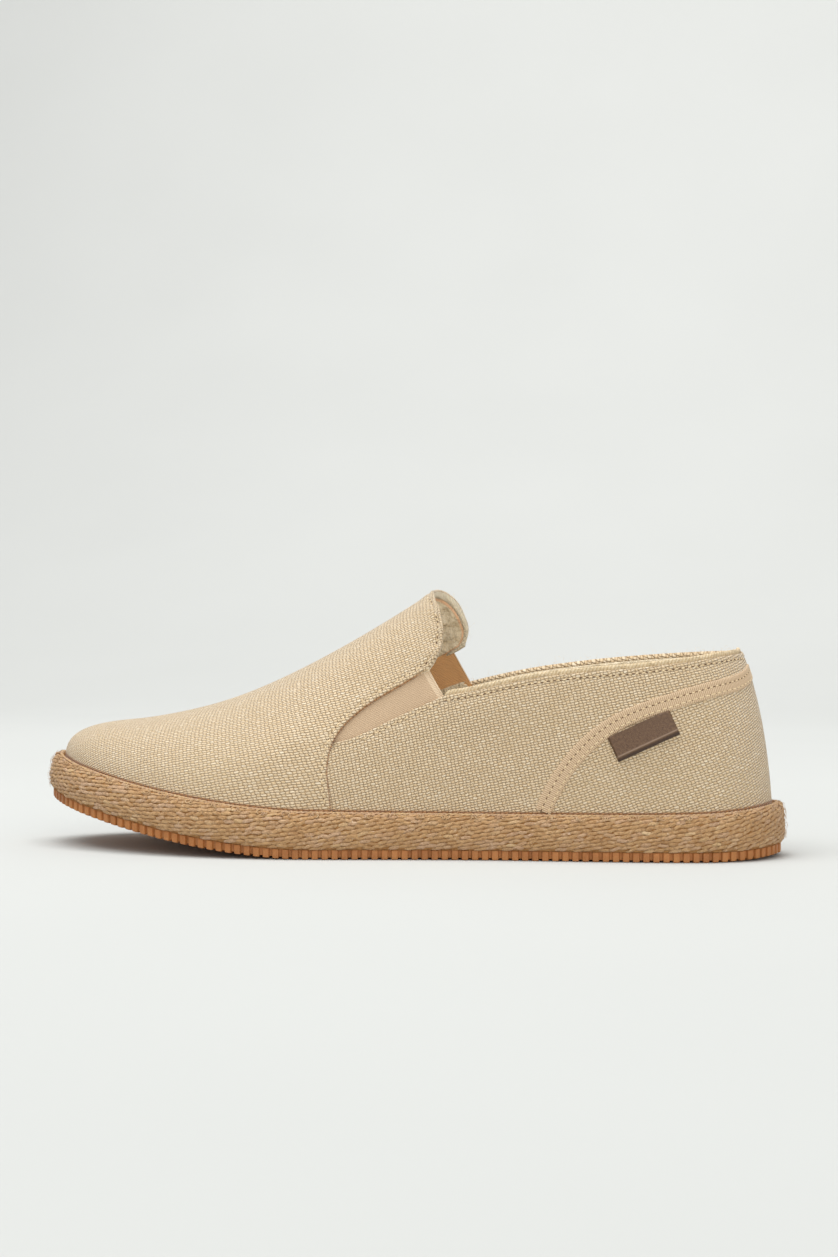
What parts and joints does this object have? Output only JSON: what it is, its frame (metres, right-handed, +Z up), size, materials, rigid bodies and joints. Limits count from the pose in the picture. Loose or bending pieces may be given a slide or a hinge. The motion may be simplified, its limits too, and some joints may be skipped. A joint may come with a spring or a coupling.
{
  "type": "slip-on espadrille shoe",
  "caption": "Left slip-on espadrille: hollow canvas upper with side elastic gores on a jute-wrapped sole with a thin rubber outsole.",
  "frame": {"origin": "centre of the box that holds the shoe, on the floor", "axes": "+X towards the back of the heel, -X towards the toe, -Y the lateral (outer) side of this left shoe, +Z up"},
  "size_m": [0.29, 0.0986, 0.0998],
  "materials": {
    "canvas": "coarse plain-weave cotton and linen canvas, cream beige, matt",
    "elastic": "finely ribbed woven elastic, pinkish beige",
    "tape": "grosgrain tape, cross-ribbed, tan",
    "jute": "braided natural jute, dry and hairy",
    "rubber": "caramel rubber, satin, ribbed at the edge",
    "insole": "off-white cotton lining cloth",
    "label": "smooth brown leather, folded"
  },
  "bodies": {
    "root": {"outsole": "rubber", "jute_sole": "jute", "insole": "insole", "upper": "canvas", "gore_lateral": "elastic", "gore_medial": "elastic", "heel_tape": "tape", "label": "label"}
  },
  "joints": []
}
